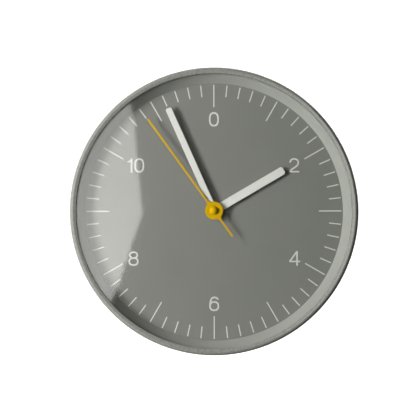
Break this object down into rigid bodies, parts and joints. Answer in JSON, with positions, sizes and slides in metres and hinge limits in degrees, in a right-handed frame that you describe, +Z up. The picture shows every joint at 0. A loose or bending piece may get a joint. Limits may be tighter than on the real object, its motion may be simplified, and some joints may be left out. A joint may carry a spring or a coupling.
{
  "type": "wall clock",
  "caption": "Round analogue quartz wall clock with a grey dial, minute marks, numerals, three hands, a domed lens and a rear setting knob.",
  "frame": {"origin": "on the hands' axis, in the plane of the wall that the flat back rests on", "axes": "+Z up the dial towards its top numeral, +X to the right as the dial is read, +Y into the wall; the dial faces -Y"},
  "size_m": [0.265, 0.037, 0.265],
  "materials": {
    "case_paint": "satin moulded plastic, warm grey",
    "rim_paint": "satin warm grey moulding",
    "ring_paint": "lighter warm grey moulding",
    "dial_paint": "matte warm grey paint",
    "dial_print": "off-white screen print",
    "lens_glass": "clear polished glass",
    "gasket_rubber": "dark grey rubber",
    "hand_paint": "off-white satin paint",
    "second_hand_paint": "yellow satin paint",
    "movement_plastic": "black moulded plastic",
    "wheel_plastic": "natural white acetal",
    "brass": "turned brass",
    "steel": "bright steel",
    "copper_wire": "enamelled copper wire, wound",
    "board_laminate": "green glass-fibre board",
    "cell_jacket": "printed sleeve on a dry cell",
    "contact_nickel": "nickel-plated spring steel",
    "magnet": "bonded ferrite magnet"
  },
  "bodies": {
    "case": {"case_shell": "case_paint", "bezel_ring": "rim_paint", "lens": "lens_glass", "lens_gasket": "gasket_rubber", "rehaut_ring": "ring_paint", "dial_plate": "dial_paint", "minute_marks": "dial_print", "numerals": "dial_print", "fixing_nut": "brass", "flat_washer": "steel", "rubber_washer": "gasket_rubber", "movement_case": "movement_plastic", "movement_cover": "movement_plastic", "train_bridge": "wheel_plastic", "bridge_screws": "steel", "stator_plate": "steel", "coil_core": "steel", "coil_bobbin": "wheel_plastic", "coil_winding": "copper_wire", "circuit_board": "board_laminate", "chip_cap": "movement_plastic", "quartz_crystal": "steel", "battery_cell": "cell_jacket", "battery_contact_positive": "contact_nickel", "battery_contact_negative": "contact_nickel"},
    "second_train": {"second_hand": "second_hand_paint", "second_hand_cap": "second_hand_paint", "second_wheel": "wheel_plastic"},
    "fifth_wheel": {"fifth_wheel": "wheel_plastic"},
    "rotor": {"rotor_pinion": "wheel_plastic", "rotor_magnet": "magnet"},
    "third_wheel": {"third_wheel": "wheel_plastic"},
    "centre_wheel": {"centre_wheel": "wheel_plastic"},
    "minute_train": {"minute_hand": "hand_paint", "cannon_pinion": "wheel_plastic"},
    "hour_train": {"hour_hand": "hand_paint", "hour_wheel": "wheel_plastic"},
    "setting_wheel": {"setting_wheel": "wheel_plastic"},
    "setting_knob": {"setting_knob": "movement_plastic"}
  },
  "joints": [
    {"name": "second_hand_spin", "type": "hinge", "parent": "case", "child": "second_train", "pos_m": [0, -0.0254, 0], "axis": [0, 1, 0], "continuous": true},
    {"name": "fifth_wheel_spin", "type": "hinge", "parent": "case", "child": "fifth_wheel", "pos_m": [0.00579, -0.0057, 0.00689], "axis": [0, 1, 0], "continuous": true},
    {"name": "rotor_spin", "type": "hinge", "parent": "case", "child": "rotor", "pos_m": [0.00887, -0.0083, 0.01223], "axis": [0, 1, 0], "continuous": true},
    {"name": "third_wheel_spin", "type": "hinge", "parent": "case", "child": "third_wheel", "pos_m": [-0.01016, -0.0087, -0.00089], "axis": [0, 1, 0], "continuous": true},
    {"name": "centre_wheel_spin", "type": "hinge", "parent": "case", "child": "centre_wheel", "pos_m": [0, -0.0117, 0], "axis": [0, 1, 0], "continuous": true},
    {"name": "minute_hand_spin", "type": "hinge", "parent": "case", "child": "minute_train", "pos_m": [0, -0.0236, 0], "axis": [0, 1, 0], "continuous": true},
    {"name": "hour_hand_spin", "type": "hinge", "parent": "case", "child": "hour_train", "pos_m": [0, -0.022, 0], "axis": [0, 1, 0], "continuous": true},
    {"name": "setting_wheel_spin", "type": "hinge", "parent": "case", "child": "setting_wheel", "pos_m": [0.00727, -0.0133, -0.0042], "axis": [0, 1, 0], "continuous": true},
    {"name": "setting_knob_turn", "type": "hinge", "parent": "case", "child": "setting_knob", "pos_m": [0.01567, -0.0024, -0.0042], "axis": [0, 1, 0], "continuous": true}
  ],
  "couplings": [
    {"joint": "fifth_wheel_spin", "follows": "second_hand_spin", "ratio": -5},
    {"joint": "rotor_spin", "follows": "second_hand_spin", "ratio": 30},
    {"joint": "third_wheel_spin", "follows": "second_hand_spin", "ratio": -0.13333},
    {"joint": "centre_wheel_spin", "follows": "second_hand_spin", "ratio": 0.016667},
    {"joint": "hour_hand_spin", "follows": "minute_hand_spin", "ratio": 0.083333},
    {"joint": "setting_wheel_spin", "follows": "minute_hand_spin", "ratio": -0.33333},
    {"joint": "setting_knob_turn", "follows": "minute_hand_spin", "ratio": 1}
  ]
}
